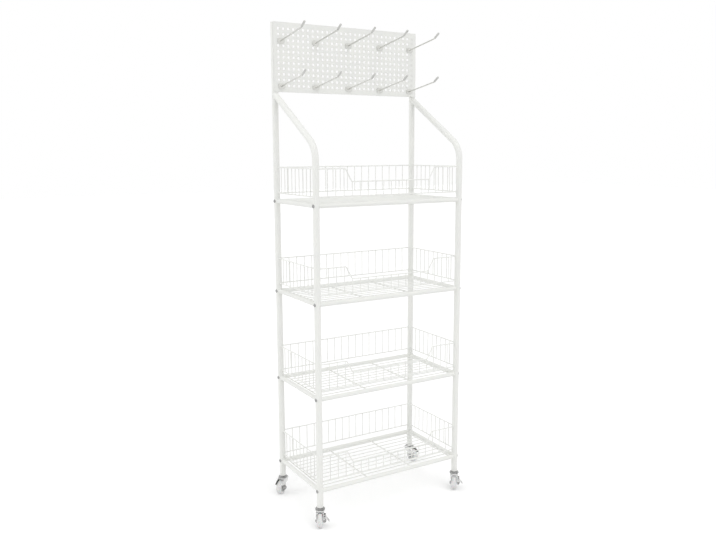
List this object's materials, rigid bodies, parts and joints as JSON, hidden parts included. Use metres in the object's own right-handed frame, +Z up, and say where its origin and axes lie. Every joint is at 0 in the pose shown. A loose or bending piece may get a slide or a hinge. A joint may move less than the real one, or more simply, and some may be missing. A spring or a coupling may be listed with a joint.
{
  "type": "snack display rack",
  "caption": "Rolling wire-basket display rack: bent tube posts, guarded wire shelves, a pegboard with hooks on top and swivel casters.",
  "frame": {"origin": "on the floor, midway between the four post axes", "axes": "+Z up, the front of the shelves and the hooks face -Y, +X to the right seen from the front"},
  "size_m": [0.6449, 0.3667, 1.714],
  "materials": {
    "white_powder_coat": "satin white powder coat on steel tube, wire and sheet",
    "zinc_fastener": "dull zinc-plated steel",
    "hook_wire": "bright plated wire",
    "hook_tip_plastic": "grey dipped vinyl",
    "caster_zinc": "bright zinc-plated pressed steel",
    "tyre_grey": "pale grey soft tread",
    "hub_plastic": "moulded pale grey plastic",
    "white_plastic": "moulded white plastic"
  },
  "bodies": {
    "rack": {"caster_sockets": "white_plastic", "caster_stems": "zinc_fastener", "front_post_left": "white_powder_coat", "front_post_right": "white_powder_coat", "hook_lower_1": "hook_wire", "hook_lower_2": "hook_wire", "hook_lower_3": "hook_wire", "hook_lower_4": "hook_wire", "hook_lower_5": "hook_wire", "hook_tips": "hook_tip_plastic", "hook_upper_1": "hook_wire", "hook_upper_2": "hook_wire", "hook_upper_3": "hook_wire", "hook_upper_4": "hook_wire", "hook_upper_5": "hook_wire", "panel_screws": "zinc_fastener", "pegboard_panel": "white_powder_coat", "post_top_caps": "white_plastic", "rail_end_plugs": "zinc_fastener", "rear_post_left": "white_powder_coat", "rear_post_right": "white_powder_coat", "shelf_1_back_guard": "white_powder_coat", "shelf_1_deck": "white_powder_coat", "shelf_1_front_guard": "white_powder_coat", "shelf_1_rails": "white_powder_coat", "shelf_2_back_guard": "white_powder_coat", "shelf_2_deck": "white_powder_coat", "shelf_2_front_guard": "white_powder_coat", "shelf_2_rails": "white_powder_coat", "shelf_3_back_guard": "white_powder_coat", "shelf_3_deck": "white_powder_coat", "shelf_3_front_guard": "white_powder_coat", "shelf_3_rails": "white_powder_coat", "shelf_4_back_guard": "white_powder_coat", "shelf_4_deck": "white_powder_coat", "shelf_4_front_guard": "white_powder_coat", "shelf_4_rails": "white_powder_coat", "shelf_bolts": "zinc_fastener", "side_guards_left": "white_powder_coat", "side_guards_right": "white_powder_coat", "side_rails": "white_powder_coat"},
    "swivel_front_left": {"fork_front_left": "caster_zinc", "axle_front_left": "zinc_fastener"},
    "wheel_front_left": {"tyre_front_left": "tyre_grey", "hub_front_left": "hub_plastic"},
    "brake_front_left": {"brake_lever_front_left": "caster_zinc"},
    "swivel_front_right": {"fork_front_right": "caster_zinc", "axle_front_right": "zinc_fastener"},
    "wheel_front_right": {"tyre_front_right": "tyre_grey", "hub_front_right": "hub_plastic"},
    "brake_front_right": {"brake_lever_front_right": "caster_zinc"},
    "swivel_rear_left": {"fork_rear_left": "caster_zinc", "axle_rear_left": "zinc_fastener"},
    "wheel_rear_left": {"tyre_rear_left": "tyre_grey", "hub_rear_left": "hub_plastic"},
    "swivel_rear_right": {"fork_rear_right": "caster_zinc", "axle_rear_right": "zinc_fastener"},
    "wheel_rear_right": {"tyre_rear_right": "tyre_grey", "hub_rear_right": "hub_plastic"}
  },
  "joints": [
    {"name": "caster_swivel_front_left", "type": "hinge", "parent": "rack", "child": "swivel_front_left", "pos_m": [-0.289, -0.151, 0.058], "axis": [0, 0, 1], "continuous": true},
    {"name": "wheel_roll_front_left", "type": "hinge", "parent": "swivel_front_left", "child": "wheel_front_left", "pos_m": [-0.298, -0.16659, 0.025], "axis": [0.866, -0.5, 0], "continuous": true},
    {"name": "brake_press_front_left", "type": "hinge", "parent": "swivel_front_left", "child": "brake_front_left", "pos_m": [-0.2831, -0.17519, 0.044], "axis": [0.5, 0.866, 0], "range_deg": [0, 6]},
    {"name": "caster_swivel_front_right", "type": "hinge", "parent": "rack", "child": "swivel_front_right", "pos_m": [0.289, -0.151, 0.058], "axis": [0, 0, 1], "continuous": true},
    {"name": "wheel_roll_front_right", "type": "hinge", "parent": "swivel_front_right", "child": "wheel_front_right", "pos_m": [0.27792, -0.16518, 0.025], "axis": [0.788, -0.6157, 0], "continuous": true},
    {"name": "brake_press_front_right", "type": "hinge", "parent": "swivel_front_right", "child": "brake_front_right", "pos_m": [0.29147, -0.17577, 0.044], "axis": [0.6157, 0.788, 0], "range_deg": [0, 6]},
    {"name": "caster_swivel_rear_left", "type": "hinge", "parent": "rack", "child": "swivel_rear_left", "pos_m": [-0.289, 0.151, 0.058], "axis": [0, 0, 1], "continuous": true},
    {"name": "wheel_roll_rear_left", "type": "hinge", "parent": "swivel_rear_left", "child": "wheel_rear_left", "pos_m": [-0.30299, 0.13967, 0.025], "axis": [0.6293, -0.7771, 0], "continuous": true},
    {"name": "caster_swivel_rear_right", "type": "hinge", "parent": "rack", "child": "swivel_rear_right", "pos_m": [0.289, 0.151, 0.058], "axis": [0, 0, 1], "continuous": true},
    {"name": "wheel_roll_rear_right", "type": "hinge", "parent": "swivel_rear_right", "child": "wheel_rear_right", "pos_m": [0.29213, 0.13327, 0.025], "axis": [0.9848, 0.1736, 0], "continuous": true}
  ]
}
